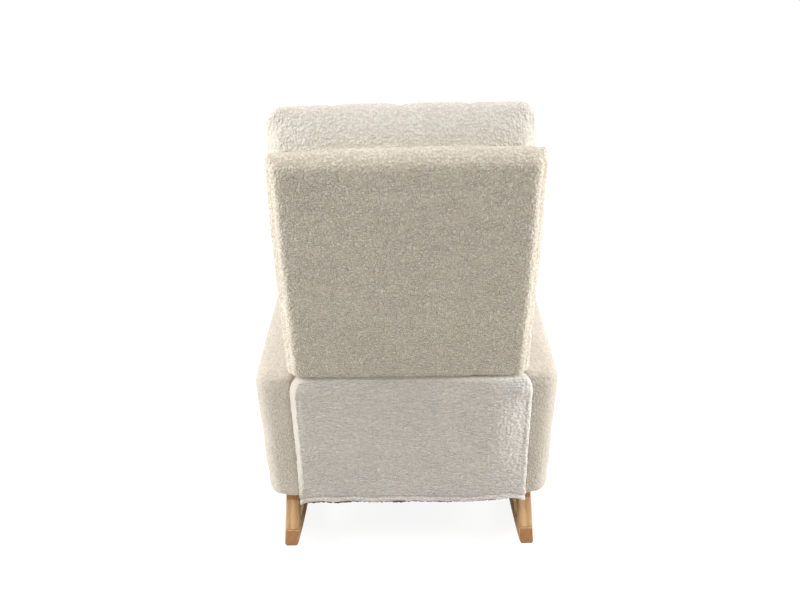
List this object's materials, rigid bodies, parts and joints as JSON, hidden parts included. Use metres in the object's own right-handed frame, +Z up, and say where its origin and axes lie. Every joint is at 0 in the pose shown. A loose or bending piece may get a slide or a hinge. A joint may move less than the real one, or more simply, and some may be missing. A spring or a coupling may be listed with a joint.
{
  "type": "nursing rocking chair",
  "caption": "Upholstered nursing rocking chair on bent wooden rockers, with padded arms, a deep seat, a channelled back cushion and a back that reclines on hinges above a loose rear flap.",
  "frame": {"origin": "on the floor, midway between the rockers, at the line where they touch it", "axes": "+Z up, +Y to the rear of the chair, +X to the sitter's left"},
  "size_m": [0.6844, 0.7193, 1.0983],
  "materials": {
    "rocker_wood": "clear satin lacquer",
    "frame_wood": "sawn, bare",
    "hinge_steel": "zinc plated",
    "teddy_fabric": "curly teddy pile",
    "webbing": "elastic weave",
    "lining": "non-woven"
  },
  "bodies": {
    "base": {"rocker_left": "rocker_wood", "rocker_right": "rocker_wood", "rear_leg_left": "rocker_wood", "rear_leg_right": "rocker_wood", "front_leg_left": "rocker_wood", "front_leg_right": "rocker_wood", "sled_rail_left": "rocker_wood", "sled_rail_right": "rocker_wood", "leg_dowels_left": "frame_wood", "leg_dowels_right": "frame_wood", "arm_frame_left": "frame_wood", "arm_frame_right": "frame_wood", "seat_side_rail_left": "frame_wood", "seat_side_rail_right": "frame_wood", "corner_block_front_left": "frame_wood", "corner_block_front_right": "frame_wood", "corner_block_rear_left": "frame_wood", "corner_block_rear_right": "frame_wood", "seat_front_rail": "frame_wood", "seat_rear_rail": "frame_wood", "sled_bolts_left": "hinge_steel", "sled_bolts_right": "hinge_steel", "arm_bolts_left": "hinge_steel", "arm_bolts_right": "hinge_steel", "hinge_seat_plate_left": "hinge_steel", "hinge_seat_plate_right": "hinge_steel", "ratchet_housing_left": "hinge_steel", "ratchet_housing_right": "hinge_steel", "pivot_rivet_left": "hinge_steel", "pivot_rivet_right": "hinge_steel", "plate_screws_left": "hinge_steel", "plate_screws_right": "hinge_steel", "arm_pad_left": "teddy_fabric", "arm_pad_right": "teddy_fabric", "seat_cushion": "teddy_fabric", "front_apron": "teddy_fabric", "rear_flap": "teddy_fabric", "seat_webbing": "webbing", "dust_cover": "lining", "flap_strip": "lining"},
    "backrest": {"hinge_arm_left": "hinge_steel", "hinge_arm_right": "hinge_steel", "hinge_arm_screws_left": "hinge_steel", "hinge_arm_screws_right": "hinge_steel", "back_stile_left": "frame_wood", "back_stile_right": "frame_wood", "back_bottom_rail": "frame_wood", "back_middle_rail": "frame_wood", "back_top_rail": "frame_wood", "back_webbing": "webbing", "outside_back": "teddy_fabric", "back_cushion": "teddy_fabric"}
  },
  "joints": [
    {"name": "back_recline", "type": "hinge", "parent": "base", "child": "backrest", "pos_m": [0, 0.191, 0.296], "axis": [-1, 0, 0], "range_deg": [0, 30], "deforming": ["rear_flap"]}
  ]
}
